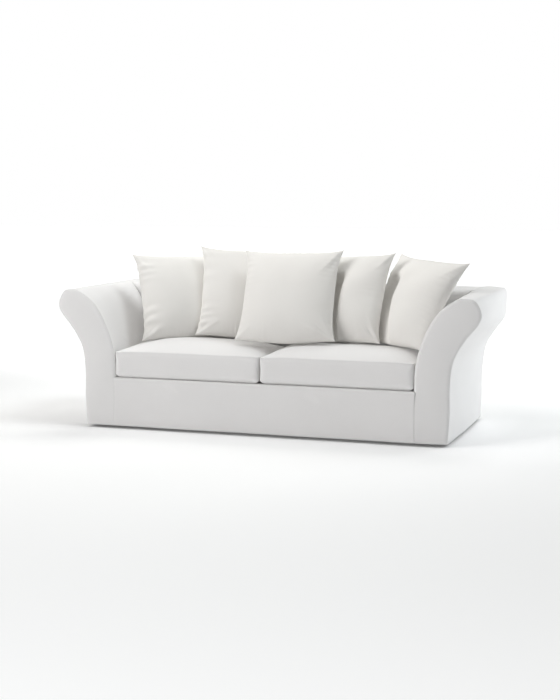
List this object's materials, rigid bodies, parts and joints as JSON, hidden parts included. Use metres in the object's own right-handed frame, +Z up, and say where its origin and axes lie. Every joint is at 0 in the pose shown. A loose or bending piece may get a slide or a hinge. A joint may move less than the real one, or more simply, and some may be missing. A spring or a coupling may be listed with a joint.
{
  "type": "sofa slipcover with seat and back cushions",
  "caption": "Fitted loose cover that hides a three-seat sofa with flared, rolled arms, with a plain skirt to the floor, boxed seat cushions and leaning scatter cushions in the same white cotton",
  "frame": {"origin": "on the floor under the middle of the cover", "axes": "+X to the right seen from the front, the front faces -Y, +Z up"},
  "size_m": [2.327, 0.922, 0.9613],
  "materials": {
    "cover_cotton": "plain woven cotton, matt",
    "scatter_cotton": "plain woven cotton, matt with a slight sheen"
  },
  "bodies": {
    "root": {"back_outside": "cover_cotton", "back_inside": "cover_cotton", "arm_left": "cover_cotton", "arm_right": "cover_cotton", "arm_front_left": "cover_cotton", "arm_front_right": "cover_cotton", "seat_deck": "cover_cotton", "front_panel": "cover_cotton", "seat_cushion_left": "cover_cotton", "seat_cushion_right": "cover_cotton", "back_cushion_1": "scatter_cotton", "back_cushion_2": "scatter_cotton", "back_cushion_3": "scatter_cotton", "back_cushion_4": "scatter_cotton", "back_cushion_5": "scatter_cotton"}
  },
  "joints": []
}
